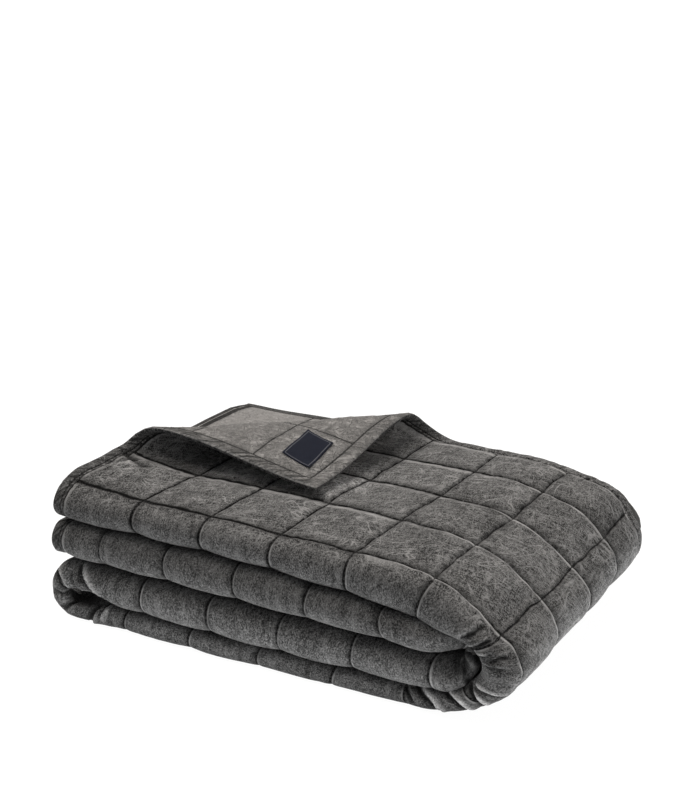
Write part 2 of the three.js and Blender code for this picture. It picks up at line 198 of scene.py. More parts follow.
# Creases, one by one: depth, width and the trough's line on the flat cloth, with the lip on its right
CREASES = [
    # round the left fold
    (3.8, 2.7, [(1340, 466), (1340, 452), (1334, 438)]),
    (3.6, 2.6, [(1365, 463), (1357, 453), (1351, 440)]),
    (5.0, 2.9, [(1396, 461), (1380, 454), (1368, 446), (1360, 433)]),
    (2.4, 2.6, [(1318, 440), (1320, 450), (1322, 462)]),
    (3.2, 3.2, [(1304, 442), (1302, 455), (1294, 468)]),
    (4.8, 3.6, [(1275, 434), (1265, 451), (1256, 470)]),
    (4.2, 3.0, [(1254, 448), (1250, 460), (1244, 472)]),
    # in the front of the right wrap
    (3.4, 2.4, [(597, 424), (594, 436), (590, 454)]),
    (3.0, 2.3, [(611, 430), (609, 440), (612, 456)]),
    (3.2, 3.0, [(624, 443), (630, 448), (627, 460)]),
    (3.4, 3.0, [(640, 430), (634, 439), (638, 450)]),
    (3.0, 3.0, [(652, 438), (648, 447), (645, 460)]),
    (4.0, 3.4, [(697, 432), (696, 446), (701, 464)]),
    # under the right wrap, where the lowest layer begins
    (5.0, 3.6, [(733, 426), (720, 446), (710, 460), (704, 470)]),
    (5.4, 3.8, [(744, 430), (745, 449), (755, 464), (762, 474)]),
    (5.4, 3.8, [(776, 434), (783, 451), (797, 464), (806, 474)]),
    (3.6, 3.4, [(806, 442), (812, 455), (822, 470)]),
    # where the inner fold turns, inside the wrap
    (7.0, 4.0, [(1890, 424), (1892, 446), (1888, 480)]),
    (3.6, 2.6, [(1872, 440), (1866, 456), (1860, 474)]),
    (3.2, 2.6, [(1912, 436), (1910, 452), (1904, 470)]),
    # beside the left hem, where it stands up
    (2.6, 4.0, [(20, 396), (34, 372), (74, 325), (113, 309)]),
    (3.0, 7.0, [(12, 316), (33, 330), (64, 338)]),
    (2.4, 3.6, [(18, 362), (30, 348), (41, 309)]),
]
# The shape of a crease, in its own widths: how far it reaches, its gentler side and its lip
CREASE_REACH = 6
GENTLE_SIDE = 0.35
LIP = dict(height=0.8, crest=1.3, fade=2.1)
# How deep a crease is at its ends, and the share of its length in which it gets deeper
END_DEPTH = 0.2
END_SHARE = 0.18
# Where the cloth is pulled in between the layers of the left fold, and how deep on each
LEFT_HOLLOW = dict(
    above=12.0, below=7.0, from_v=452, to_v=468, past=30,
    from_u=1236, turn_u=1300, turn=30, to_u=1425, fade=55,
)

# The studio's light: a wide soft key from above, a weak one from the right and an even fill
KEY_STRENGTH = 3.75
KEY_COLOUR = (1.05, 0.99, 0.93)
KEY_WIDTH = 60
KEY_TURN = (-6, -24, 0)
SIDE_STRENGTH = 1.0
SIDE_TURN = (0, 62, 0)
FILL_STRENGTH = 0.32
# The table glows softly, to stay white, and panels on it light the cloth from below on all four sides
TABLE_GLOW = 0.97
TABLE_WHITE = 0.05
PANEL_STRENGTH = 15.0
PANEL_HEIGHT = 0.003
PANELS = [
    dict(x=0.0, y=-0.295, width=0.7, depth=0.06),
    dict(x=0.0, y=0.3, width=0.7, depth=0.06),
    dict(x=0.37, y=0.0, width=0.06, depth=0.5),
    dict(x=-0.37, y=0.0, width=0.06, depth=0.5),
]
FLOOR_HALF = 150.0

# The label: where it lies on the back cloth, how askew, and how far above it
LABEL_U = (39, 111)
LABEL_V = (34, 78)
LABEL_SLANT = (0.14, 0.08)
LABEL_GAP = 0.4
LABEL_THICKNESS = 0.8
# The label's corners stand up, past a share of the way to them, and its cloth is wavy
LABEL_LOOSE = 2.4
LABEL_SEWN_TO = 0.35
LABEL_WAVE = dict(height=0.25, periods=(9, 9), start=0, seed=31)
LABEL_POINTS = (37, 23)
LABEL_DARK = (0.006, 0.0075, 0.014, 1)
LABEL_NAVY = (0.018, 0.022, 0.037, 1)
LABEL_BORDER = (0.17, 0.175, 0.19, 1)
# How much redder than blue the back cloth's greys are
WARMTH = 0.02

# The camera of the photograph
CAMERA_PLACE = (0.809, -1.5075, 0.776)
CAMERA_AZIMUTH = 28.67
CAMERA_ELEVATION = 16.30
CAMERA_LENS = 63
CAMERA_SENSOR = 36
CAMERA_FAR = 1000

# Columns of points along the length: how many in each square, crowded beside its lines
FINE_TO = SHOWN_LINES_U[7]
CURL_TO = 330
CROWDING = 0.62
COLUMNS_EACH_SQUARE = [26, 24, 24, 24, 24, 46, 46, 44] + 4 * [18] + 2 * [52] + 4 * [16] + [30] + 5 * [16]
LAST_COLUMNS = 12
# Rows of points across, as places and the steps to each
HEM_PLACES = [1, 3, 7, 11.5, HEM_LINES[0], 15.7, HEM]
ROWS_EACH_SQUARE = [22, 22, 22, 26]
COARSE_ROWS = [(395, 12), (SHOWN_LINES_V[3], 4)]
FRONT_ROWS = [(485, 28), (515, 6)]
HIDDEN_ROWS = [(865, 3), (BACK_START, 2), (BACK_END, 6), (935, 2), (1315, 3), (INNER_END, 5)]
SECOND_ROWS_SHOWN = [(1715, 18), (WIDTH - HEM, 5)]
SECOND_ROWS_HIDDEN = [(1715, 5), (WIDTH - HEM, 5)]
# The back keeps one row in two, and one column in two at the turned corner or in four elsewhere
BACK_ROWS = 2
BACK_COLUMNS_SHOWN = 2
BACK_COLUMNS_HIDDEN = 4

# Places along the length that the painted marks go by
WRAP_FROM = SHOWN_LINES_U[3]
WRAP_END = PATH[1]["end"]
LEFT_MIDDLE = (PATH[2]["end"] + PATH[3]["end"]) / 2
INSIDE_MIDDLE = (PATH[4]["end"] + PATH[5]["end"]) / 2
RIM_CHANGE = 30
# The second sheet shows its back, with a narrower hem, past this place across
SECOND_SHEET_V = 1300
SECOND_HEM = 0.5
# A distance past every painted mark, and one that is still on a line
FAR = 50.0
ON_LINE = 0.01
# Depths over which creases get painted shade, heights over which their lips get a painted highlight, and how
# much painted shade falls in the left fold's hollow and round the inner fold
SHADED_CREASE_DEPTHS = (0.8, 3.8)
HIGHLIT_LIP_HEIGHTS = (1.0, 2.8)
HOLLOW_DEPTHS = (2.5, 8.5)
HOLLOW_SHADE = 0.9
INSIDE_SHADE = 0.6
INSIDE_SHADE_WIDTH = 30
# How gathered the back's hem is along the left edge and along the front one
GATHERS = (0.9, 0.35)

SMALL_STEP = 0.5
PROFILE_STEPS = 60
NOISE_SIZE = 64
SAME_SHEET = 1e-9
SAME_PLACE = 1e-6


def mix(a, b, t):
    """The value at a share of the way from one to another."""
    return a + (b - a) * t


def smooth(t):
    """A soft step from 0 to 1."""
    t = np.clip(t, 0, 1)
    return t * t * (3 - 2 * t)


def rise(value, start, end):
    """A soft step from 0 at a start to 1 at an end, in either direction."""
    return smooth((value - start) / (end - start))


def noise(a, b, seed):
    """Smooth noise between -1 and 1 on a plane, the same at every run."""
    table = np.random.default_rng(seed).uniform(-1, 1, (NOISE_SIZE, NOISE_SIZE))
    i, j = np.floor(a).astype(int), np.floor(b).astype(int)
    s, t = smooth(a - i), smooth(b - j)

    def at(p, q):
        return table[p % NOISE_SIZE, q % NOISE_SIZE]

    return mix(mix(at(i, j), at(i + 1, j), s), mix(at(i, j + 1), at(i + 1, j + 1), s), t)


def wave(which, a, b):
    """Height of a soft wave at places on a plane."""
    period_a, period_b = which["periods"]
    return which["height"] * noise(a / period_a + which["start"], b / period_b, which["seed"])


def layer_middles():
    """Heights of the middle of each layer in the unsettled stack."""
    middles = np.zeros(len(LAYER_PITCH))
    height = BOTTOM_SHEET_HEIGHT - LAYER_PITCH[-1] / 2
    for i in reversed(range(len(LAYER_PITCH))):
        thickness = SHEETS_PER_LAYER * LAYER_PITCH[i]
        middles[i] = height + thickness / 2
        height += thickness
    return middles


MIDDLES = layer_middles()


def sheet_height(layer, sheet):
    """Height of a sheet of a layer in the unsettled stack."""
    return MIDDLES[layer] + LAYER_OUTER[layer] * sheet * LAYER_PITCH[layer]


def fold_reach(fold, angle):
    """Share of a fold's reach at an angle round it."""
    return np.maximum(0, np.sin(angle)) ** np.where(angle < math.pi / 2, 1, fold["belly"])


def fold_angle(fold, share):
    """Angle round a fold at a share of its length, so that the cloth isn't stretched."""
    angles = np.linspace(0, math.pi, PROFILE_STEPS + 1)
    reach = fold["reach"] + OUTERMOST * fold["spread"]
    near = abs(sheet_height(fold["start"], OUTERMOST * fold["outside"]) - fold["widest"])
    far = abs(sheet_height(fold["end"], OUTERMOST * fold["outside"]) - fold["widest"])
    x = reach * fold_reach(fold, angles)
    z = np.cos(angles) * np.where(angles < math.pi / 2, near, far)
    lengths = np.concatenate([[0], np.cumsum(np.hypot(np.diff(x), np.diff(z)))])
    return np.interp(share * lengths[-1], lengths, angles)


def section(v):
    """Place along the section: y, the sheet's number from -1.5 to 1.5, how free and how tight it is."""
    conditions = [
        v <= FRONT_START, v < FRONT_END, v <= BACK_START, v < BACK_END, v <= INNER_START, v < INNER_END,
    ]
    front = math.pi * (v - FRONT_START) / (FRONT_END - FRONT_START)
    back = math.pi * (v - BACK_START) / (BACK_END - BACK_START)
    inner = math.pi * (v - INNER_START) / (INNER_END - INNER_START)
    y = np.select(conditions, [
        FRONT_START - v, -FRONT_FOLD_REACH * np.sin(front), v - FRONT_END,
        DEPTH + SMALL_FOLD_REACH * np.sin(back), DEPTH - (v - BACK_END), -SMALL_FOLD_REACH * np.sin(inner),
    ], v - INNER_END)
    sheet = np.select(conditions, [
        OUTERMOST, OUTERMOST * np.cos(front), -OUTERMOST, -1 - 0.5 * np.cos(back), -0.5, -0.5 * np.cos(inner),
    ], 0.5)
    free = np.where(conditions[1] & ~conditions[0], np.sin(front), 0)
    in_back, in_inner = conditions[3] & ~conditions[2], conditions[5] & ~conditions[4]
    tight = np.select([in_back, in_inner], [np.sin(back), np.sin(inner)], 0)
    return y, sheet, free, tight


def strip(u, sheet):
    """Place along the strip for each sheet: x, z, pitch, set back of the front, how free and how tight."""
    found = {name: np.zeros_like(u) for name in ("x", "z", "pitch", "front", "free", "tight")}
    outermost = sheet > OUTERMOST - SAME_SHEET
    begin = 0
    for stretch in PATH:
        here = (u >= begin) & ((u < stretch["end"]) | (stretch["end"] == LENGTH))
        share = (u[here] - begin) / (stretch["end"] - begin)
        place = on_fold if "fold" in stretch else on_run
        for name, values in place(stretch, share, sheet[here], outermost[here]).items():
            found[name][here] = values
        begin = stretch["end"]
    return found


def on_run(stretch, share, sheet, outermost):
    """Places on a straight run of one layer."""
    run = stretch["run"]
    return dict(
        x=mix(stretch["x0"], stretch["x1"], share),
        z=sheet_height(run, sheet),
        pitch=LAYER_PITCH[run],
        front=LAYER_FRONT[run],
        free=outermost * (1.0 if run == 0 else 0.0),
        tight=0.0,
    )


def on_fold(stretch, share, sheet, outermost):
    """Places round a fold from one layer to another."""
    fold = stretch["fold"]
    angle = fold_angle(fold, share)
    reach = fold["reach"] + fold["outside"] * sheet * fold["spread"]
    near = sheet_height(fold["start"], sheet) - fold["widest"]
    far = fold["widest"] - sheet_height(fold["end"], sheet)
    turned = (1 - np.cos(angle)) / 2
    pitch = mix(LAYER_PITCH[fold["start"]], LAYER_PITCH[fold["end"]], turned)
    front = mix(LAYER_FRONT[fold["start"]], LAYER_FRONT[fold["end"]], turned)
    gap = np.abs(near) + np.abs(far)
    closeness = np.clip((PINCH_GAP_NONE - gap) / (PINCH_GAP_NONE - PINCH_GAP_FULL), 0, 1)
    return dict(
        x=fold["x"] + fold["side"] * reach * fold_reach(fold, angle),
        z=fold["widest"] + np.cos(angle) * np.where(angle < math.pi / 2, near, far),
        pitch=np.minimum(pitch, mix(pitch, fold["spread"], np.sin(angle) ** 2)),
        front=front + fold["recess"] * np.sin(angle) ** 2,
        free=outermost * (1.0 if fold is WRAP else 0.0),
        tight=closeness * np.sin(angle) ** 2,
    )


def curl_profile():
    """Side view of a soft half turn of length 1: its reach and height at even steps."""
    angles = math.pi * smooth((np.arange(PROFILE_STEPS) + 0.5) / PROFILE_STEPS)
    reach = np.concatenate([[0], np.cumsum(np.cos(angles))]) / PROFILE_STEPS
    height = np.concatenate([[0], np.cumsum(np.sin(angles))]) / PROFILE_STEPS
    return np.linspace(0, 1, PROFILE_STEPS + 1), reach, height


CURL_SHARES, CURL_REACH, CURL_HEIGHT = curl_profile()


def turn_corner(points):
    """Turns back what lies past the curl's line. Gives the points and how far past it they were."""
    angle = math.radians(CURL_DIRECTION)
    to_corner = -np.array([math.cos(angle), math.sin(angle)])
    beside = np.array([to_corner[1], -to_corner[0]])
    from_corner = points[:, :2] - CURL_CORNER
    past = from_corner @ to_corner + CURL_DISTANCE
    along = from_corner @ beside
    length = CURL_LENGTH * (1 + CURL_FLARE * (along / CURL_FLARE_SPAN) ** 2)
    share = np.clip(past / length, 0, 1)
    beyond = np.maximum(0, past - length)
    fallen = (1 - np.cos(math.pi * np.minimum(1, beyond / CURL_RUN))) / 2
    reach = np.interp(share, CURL_SHARES, CURL_REACH) * length - beyond * CURL_STRETCH
    curled = np.interp(share, CURL_SHARES, CURL_HEIGHT) * length
    height = np.where(beyond > 0, mix(CURL_HEIGHT[-1] * length, CURL_REST, fallen), curled)
    turned = points.copy()
    turned[:, :2] += (reach - past)[:, None] * to_corner
    turned[:, 2] += height
    return np.where((past > 0)[:, None], turned, points), past / length


def hem_lift(u, v, sheet):
    """How far the left hems of the two top sheets are lifted."""
    def part(lift, start, end):
        return rise(v, lift[start], lift[end])

    fall = HEM_LIFT["fall"] * part(HEM_LIFT, "fall_from", "fall_to")
    lifted = HEM_LIFT["height"] * part(HEM_LIFT, "rise_from", "rise_to") * (1 - fall)
    first = lifted * np.exp(-u / HEM_LIFT["fade"]) * np.clip(sheet / OUTERMOST, 0, 1)
    fall = part(SECOND_LIFT, "fall_from", "fall_to")
    lifted = SECOND_LIFT["height"] * part(SECOND_LIFT, "rise_from", "rise_to") * (1 - fall)
    droop = SECOND_LIFT["droop"] * part(SECOND_LIFT, "droop_from", "fall_to")
    droop *= smooth(u / SECOND_LIFT["droop_in"]) * smooth((TOP_RUN_END - u) / SECOND_LIFT["droop_out"])
    second = lifted * np.exp(-u / SECOND_LIFT["fade"]) - droop
    return np.where(v < FRONT_END, first, second) * (u < TOP_RUN_END)


def middle(u, v):
    """The middle of the cloth's thickness, the pitch, how free its face is and how far past the curl."""
    y, sheet, front_free, small_tight = section(v)
    along = strip(u, sheet)
    second = np.maximum(0, v - INNER_END) / (WIDTH - INNER_END)
    shift = SECOND_SHEET_SHIFT * second * np.maximum(0, 1 - u / SECOND_SHEET_FADE)
    points = np.stack([along["x"] + shift, FRONT_FOLD_Y + y + along["front"], along["z"]], 1)
    pitch = along["pitch"] * (1 - np.maximum(PINCH * along["tight"], SMALL_FOLD_PINCH * small_tight))
    free = np.maximum(along["free"], front_free)
    top = (sheet > OUTERMOST - SAME_SHEET) & (u < TOP_RUN_END)
    turned, past = turn_corner(points)
    points = np.where(top[:, None], turned, points)
    points[:, 2] += hem_lift(u, v, sheet)
    return points, pitch, free, np.where(top, past, 0)


def face_normal(u, v):
    """The direction that the cloth's face looks in."""
    def at(a, b):
        return middle(np.clip(a, 0, LENGTH), np.clip(b, 0, WIDTH))[0]

    along_u = at(u + SMALL_STEP, v) - at(u - SMALL_STEP, v)
    along_v = at(u, v + SMALL_STEP) - at(u, v - SMALL_STEP)
    normal = np.cross(along_v, along_u)
    return normal / np.linalg.norm(normal, axis=1)[:, None]


def loosen(points):
    """Soft unevenness of the stack: a wavy front, back and left end, and an uneven top."""
    x, y, z = points.T
    back_y = FRONT_FOLD_Y + DEPTH
    share = np.clip(z / NOMINAL_LEVELS[-1], 0, 1)
    front = rise(y, FRONT_FOLD_Y + FRONT_WAVE_REACH, FRONT_FOLD_Y)
    back = rise(y, back_y - END_WAVE_REACH, back_y)
    left = rise(x, FIRST_HEM_X + END_WAVE_REACH, FIRST_HEM_X)
    full = rise(y, WRAP_FULL["from_y"], WRAP_FULL["to_y"]) * rise(z, WRAP_FULL["from_z"], WRAP_FULL["to_z"])
    full *= np.exp(-((x - WRAP_FULL["x"]) / WRAP_FULL["width"]) ** 2)
    deep = rise(y, FRONT_FOLD_Y + INSIDE_DEEP["reach"], FRONT_FOLD_Y)
    deep *= np.exp(-((x - INSIDE_DEEP["x"]) / INSIDE_DEEP["width"]) ** 2)
    deep *= np.exp(-((z - INSIDE_DEEP["z"]) / INSIDE_DEEP["height"]) ** 2)
    slanted = y + WANDER_SLANT * z
    moved_x = left * wave(LEFT_WAVE, y, z) + wave(WANDER_X, x, slanted)
    moved_y = front * wave(FRONT_WAVE, x, z) + back * wave(BACK_WAVE, x, z) + wave(WANDER_Y, x, slanted)
    return np.stack([
        x + moved_x + WRAP_FULL["out"] * full,
        y + moved_y + INSIDE_DEEP["depth"] * deep,
        z + share * wave(TOP_WAVE, x, y) + WRAP_FULL["height"] * full,
    ], 1)


def settle(points):
    """The stack as it lies: uneven levels, the top turned a little, flat underneath. In metres."""
    x, y, z = loosen(points).T
    levels = np.stack([np.interp(x, LEVEL_X, LEVELS[:, i]) for i in range(LEVELS.shape[1])], 1)
    below = np.clip(np.searchsorted(NOMINAL_LEVELS, z) - 1, 0, len(NOMINAL_LEVELS) - 2)
    rows = np.arange(len(z))
    share = (z - NOMINAL_LEVELS[below]) / (NOMINAL_LEVELS[below + 1] - NOMINAL_LEVELS[below])
    height = mix(levels[rows, below], levels[rows, below + 1], share)
    turn = TOP_TURN * np.clip(z / NOMINAL_LEVELS[-1], 0, 1)
    settled = np.stack([
        x - turn * (y - TURN_CENTRE_Y) - CENTRE[0],
        y + turn * x - CENTRE[1],
        np.maximum(0, height),
    ], 1)
    return settled * METRES


def stitched_lines(length, shown):
    """Every stitched line between two edges, with the inner lines of both hems."""
    others = np.arange(shown[-1] + CELL, length - HEM - 1, CELL)
    return np.concatenate([[HEM], shown, others, [length - HEM]]).astype(float)


U_LINES = stitched_lines(LENGTH, SHOWN_LINES_U)
V_LINES = stitched_lines(WIDTH, SHOWN_LINES_V)


def between_lines(place, lines):
    """Share of the way between two stitched lines, and the distance to the nearer one."""
    i = np.clip(np.searchsorted(lines, place) - 1, 0, len(lines) - 2)
    share = (place - lines[i]) / (lines[i + 1] - lines[i])
    return np.clip(share, 0, 1), np.minimum(np.abs(place - lines[i]), np.abs(lines[i + 1] - place))


def beside_lines(place, lines):
    """Distances from the stitched line before a place and to the one after it."""
    i = np.clip(np.searchsorted(lines, place + SAME_PLACE) - 1, 0, len(lines) - 2)
    return np.maximum(0, place - lines[i]), np.maximum(0, lines[i + 1] - place)


def edge_distance(u, v):
    """Distance to the nearest edge of the flat cloth."""
    return np.minimum(np.minimum(u, LENGTH - u), np.minimum(v, WIDTH - v))


def half_thickness(u, v, pitch, free, roll):
    """Thin at the quilting lines, full between them, and a rounded hem at the edge."""
    puff = np.sin(math.pi * between_lines(u, U_LINES)[0]) * np.sin(math.pi * between_lines(v, V_LINES)[0])
    shape = mix(PUFF_SHAPE, FREE_PUFF_SHAPE, free)
    stitch = mix(STITCH_SHARE, mix(FREE_STITCH_SHARE, ROLL_STITCH_SHARE, roll), free)
    full = mix(PUFF_SHARE, mix(FREE_PUFF_SHARE, ROLL_PUFF_SHARE, roll), free)
    body = mix(stitch, full, np.maximum(0, puff) ** shape)
    edge = edge_distance(u, v)
    rounding = np.sqrt(np.clip(1 - (1 - edge / HEM_ROUND) ** 2, EDGE_LEAST, 1))
    rounding = np.where(edge < HEM_ROUND, rounding, 1)
    band = mix(HEM_SHARE, FREE_HEM_SHARE, free) * rounding
    to_stitch = np.min([np.abs(edge - line) for line in HEM_LINES], axis=0)
    sunk = mix(band, stitch, HEM_SINK * (edge > HEM_LINES[0]))
    hem = mix(stitch, sunk, smooth(to_stitch / HEM_GROOVE))
    return pitch * np.where(edge < HEM, hem, body)


def distance_along(u, v, line):
    """Signed distance from a bent line on the flat cloth, and the share of the way along it."""
    best = np.full(len(u), np.inf)
    signed, share = np.full(len(u), np.inf), np.zeros(len(u))
    line = np.array(line, float)
    steps = np.linalg.norm(np.diff(line, axis=0), axis=1)
    walked = np.concatenate([[0], np.cumsum(steps)])
    for k, step in enumerate(steps):
        du, dv = (line[k + 1] - line[k]) / step
        along = np.clip((u - line[k, 0]) * du + (v - line[k, 1]) * dv, 0, step)
        off_u, off_v = u - line[k, 0] - along * du, v - line[k, 1] - along * dv
        distance = np.hypot(off_u, off_v)
        nearer = distance < best
        best[nearer] = distance[nearer]
        signed[nearer] = np.copysign(distance, du * off_v - dv * off_u)[nearer]
        share[nearer] = ((walked[k] + along) / walked[-1])[nearer]
    return signed, share


def creases(u, v):
    """The photograph's creases, each a soft trough with a raised lip on one side."""
    height = np.zeros(len(u))
    for depth, width, line in CREASES:
        reach = CREASE_REACH * width
        low, high = np.min(line, axis=0) - reach, np.max(line, axis=0) + reach
        near = (u > low[0]) & (u < high[0]) & (v > low[1]) & (v < high[1])
        signed, share = distance_along(u[near], v[near], line)
        t = signed / width
        trough = np.exp(-t ** 2) + GENTLE_SIDE * np.exp(-((t + 1) / 2) ** 2)
        past_crest = np.maximum(0, t - LIP["crest"])
        lip = LIP["height"] * rise(t, 0, LIP["crest"]) * np.exp(-past_crest / LIP["fade"])
        from_end = np.minimum(share, 1 - share)
        height[near] -= depth * (trough - lip) * smooth(from_end / END_SHARE + END_DEPTH)
    return height


def hollow(u, v):
    """How far the cloth is drawn in between the layers of the left fold."""
    fade, end_v = LEFT_HOLLOW["fade"], FRONT_END + LEFT_HOLLOW["past"]
    where = smooth((u - LEFT_HOLLOW["from_u"]) / fade) * smooth((LEFT_HOLLOW["to_u"] - u) / fade)
    upper = smooth((u - LEFT_HOLLOW["turn_u"]) / LEFT_HOLLOW["turn"])
    inside = rise(v, LEFT_HOLLOW["from_v"], LEFT_HOLLOW["to_v"]) * rise(v, end_v, FRONT_END)
    return mix(LEFT_HOLLOW["below"], LEFT_HOLLOW["above"], upper) * where * inside


def relief(u, v):
    """Small unevenness of the free face: puckers along the stitching, soft dents and creases."""
    def pucker(distance, along, across, seed):
        fade = distance / PUCKER_WIDTH * np.exp(1 - distance / PUCKER_WIDTH)
        return fade * noise(along / PUCKER_PERIOD, across / PUCKER_RUN, seed)

    du = between_lines(u, U_LINES)[1]
    dv = between_lines(v, V_LINES)[1]
    puckers = pucker(du, v, u, 11) + pucker(dv, u, v, 12)
    dents = noise(u / WIDE_DENT, v / WIDE_DENT, 13) + 0.5 * noise(u / SMALL_DENT, v / SMALL_DENT, 14)
    edge = edge_distance(u, v)
    away = rise(edge, HEM, 2 * HEM)
    gathered = noise((u + v) / HEM_PUCKER_PERIOD, (u - v) / PUCKER_RUN, 15)
    hem_pucker = (1 - away) * smooth(edge / HEM_PUCKER_EDGE) * gathered
    uneven = away * (PUCKER_HEIGHT * puckers + DENT_HEIGHT * dents)
    return uneven + HEM_PUCKER_HEIGHT * hem_pucker + creases(u, v)


def wander(u, v):
    """Where places on the cloth lie, since the sewing doesn't run quite straight."""
    amount = SEAM_WANDER * smooth((edge_distance(u, v) - HEM) / CELL)
    sideways = noise(u / CELL, v / SEAM_PERIOD, 41)
    lengthwise = noise(u / SEAM_PERIOD, v / CELL, 42)
    return u + amount * sideways, v + amount * lengthwise


def surface(u, v, side, lift=0.0):
    """Points on the cloth's face, side 1, or back, side -1, or at a height above them. In metres."""
    lies_u, lies_v = wander(u, v)
    points, pitch, free, past_curl = middle(lies_u, lies_v)
    roll = section(v)[2]
    shown = free
    if side < 0:
        free = np.zeros_like(free)
        shown = BACK_RELIEF * rise(past_curl, 0, 0.5)
    offset = half_thickness(u, v, pitch, free, roll) + shown * relief(u, v) + lift
    offset -= side * hollow(u, v)
    return settle(points + (side * offset)[:, None] * face_normal(lies_u, lies_v))


def last_hem(length):
    """Places in the hem at the far edge."""
    return [(length - place, 1) for place in HEM_PLACES[-2::-1]] + [(length, 1)]


# A third number marks a row that is one square
FIRST_HEM = [(place, 1) for place in HEM_PLACES]
SQUARES_ALONG = [(line, count, 1) for line, count in zip(SHOWN_LINES_U, COLUMNS_EACH_SQUARE)]
SQUARES_ACROSS = [(line, count, 1) for line, count in zip(SHOWN_LINES_V, ROWS_EACH_SQUARE)]
ALONG = FIRST_HEM + SQUARES_ALONG + [(LENGTH - HEM, LAST_COLUMNS)] + last_hem(LENGTH)


def across(u):
    """Rows across at a place along the length: fine where the top and the wrap show."""
    first = SQUARES_ACROSS if u <= FINE_TO else COARSE_ROWS
    last = SECOND_ROWS_SHOWN if u <= CURL_TO else SECOND_ROWS_HIDDEN
    return FIRST_HEM + first + FRONT_ROWS + HIDDEN_ROWS + last + last_hem(WIDTH)


def places(rows):
    """Steps through a table, closer together beside the stitched lines of a square."""
    found = [0.0]
    for to, count, *square in rows:
        start = found[-1]
        for i in range(1, count + 1):
            crowd = CROWDING * math.sin(2 * math.pi * i / count) / (2 * math.pi) if square else 0
            found.append(mix(start, to, i / count - crowd))
    return np.array(found)


def thinned(values, lines, step):
    """Every so many of the places, with the last one and those on stitched lines."""
    on_line = values[np.min(np.abs(values[:, None] - lines), axis=1) < SAME_PLACE]
    return np.unique(np.concatenate([values[::step], values[-1:], on_line]))


def zip_rows(a, b, a_first, b_first):
    """Triangles between two rows of points whose places differ."""
    found = []
    i = j = 0
    while i < len(a) - 1 or j < len(b) - 1:
        next_a = a[i + 1] if i < len(a) - 1 else np.inf
        next_b = b[j + 1] if j < len(b) - 1 else np.inf
        if next_b < next_a:
            found.append((a_first + i, b_first + j, b_first + j + 1))
            j += 1
        else:
            found.append((a_first + i, b_first + j, a_first + i + 1))
            i += 1
    return found


class Grid:
    """Columns of points over the flat cloth, the faces between them and its four sides."""

    def __init__(self, columns, first):
        counts = [len(rows) for _, rows in columns]
        starts = [first + sum(counts[:k]) for k in range(len(counts))]
        self.u = np.concatenate([np.full(len(rows), u) for u, rows in columns])
        self.v = np.concatenate([rows for _, rows in columns])
        self.faces = []
        for k in range(len(columns) - 1):
            left, right = columns[k][1], columns[k + 1][1]
            a, b = starts[k], starts[k + 1]
            if len(left) == len(right):
                i = np.arange(len(left) - 1)
                self.faces += np.stack([a + i, b + i, b + i + 1, a + i + 1], 1).tolist()
            else:
                self.faces += zip_rows(left, right, a, b)
        ends = [start + count - 1 for start, count in zip(starts, counts)]
        us = [u for u, _ in columns]
        # Each side as places along it, always rising, and the points there
        self.sides = [
            (columns[0][1].tolist(), list(range(starts[0], ends[0] + 1))),
            (us, ends),
            ((-columns[-1][1][::-1]).tolist(), list(range(starts[-1], ends[-1] + 1))[::-1]),
            ([-u for u in us[::-1]], starts[::-1]),
        ]


def closed_sheet(name, columns, back_columns, face_at, back_at):
    """A closed mesh between a face and a back, with the place and the side of each point."""
    face = Grid(columns, 0)
    back = Grid(back_columns, len(face.u))
    points = np.concatenate([face_at(face.u, face.v), back_at(back.u, back.v)])
    rim = []
    for (a_places, a_points), (b_places, b_points) in zip(face.sides, back.sides):
        loop = a_points + b_points
        rim += [(loop[i], loop[j], loop[k]) for i, j, k in zip_rows(a_places, b_places, 0, len(a_points))]
    faces = [tuple(f[::-1]) for f in face.faces] + [tuple(f) for f in back.faces] + rim
    mesh = bpy.data.meshes.new(name)
    mesh.from_pydata(points.tolist(), [], faces)
    material = np.zeros(len(faces), int)
    material[len(face.faces):len(face.faces) + len(back.faces)] = 1
    mesh.polygons.foreach_set("material_index", material)
    mesh.polygons.foreach_set("use_smooth", np.ones(len(faces), bool))
    u, v = np.concatenate([face.u, back.u]), np.concatenate([face.v, back.v])
    side = np.concatenate([np.ones(len(face.u)), -np.ones(len(back.u))])
    return mesh, u, v, side


def put(mesh, name, values):
    """Gives each point of a mesh a number, or three, for its materials to read."""
    vector = values.ndim == 2
    made = mesh.attributes.new(name, "FLOAT_VECTOR" if vector else "FLOAT", "POINT")
    made.data.foreach_set("vector" if vector else "value", values.astype(np.float32).ravel())


def put_distances(mesh, u, v, second):
    """Distances to the stitched lines and the edge, and to the lines beside which a highlight or shade is
    painted.
    """
    edge = np.where(second > 0, np.minimum(u / mix(1, SECOND_HEM, second), WIDTH - v), edge_distance(u, v))
    past_u, before_u = beside_lines(u, U_LINES)
    past_v, before_v = beside_lines(v, V_LINES)
    # The rim on the right of a line gets the painted highlight, and the length runs to the left in two of the
    # layers
    leftward = ((u > WRAP_END) & (u < LEFT_MIDDLE)) | (u > INSIDE_MIDDLE)
    pale_u = np.where(leftward, before_u, past_u)
    on_front = (v > SHOWN_LINES_V[2] + CELL / 2) * rise(u, WRAP_FROM + RIM_CHANGE, WRAP_FROM - RIM_CHANGE)
    gaps = np.stack([np.minimum(past_u, before_u), np.minimum(past_v, before_v), edge], 1)
    # rims: where painted highlights go beside the lines, and where painted shade goes on the near side of the
    # lines across
    rims = np.stack([pale_u, past_v + FAR * on_front, before_v], 1)
    gaps[(second > 0) & (v > V_LINES[-3]), 1] = FAR
    in_hem = edge < HEM - ON_LINE
    gaps[in_hem, :2] = FAR
    rims[in_hem] = FAR
    put(mesh, "gaps", gaps)
    put(mesh, "rims", rims)


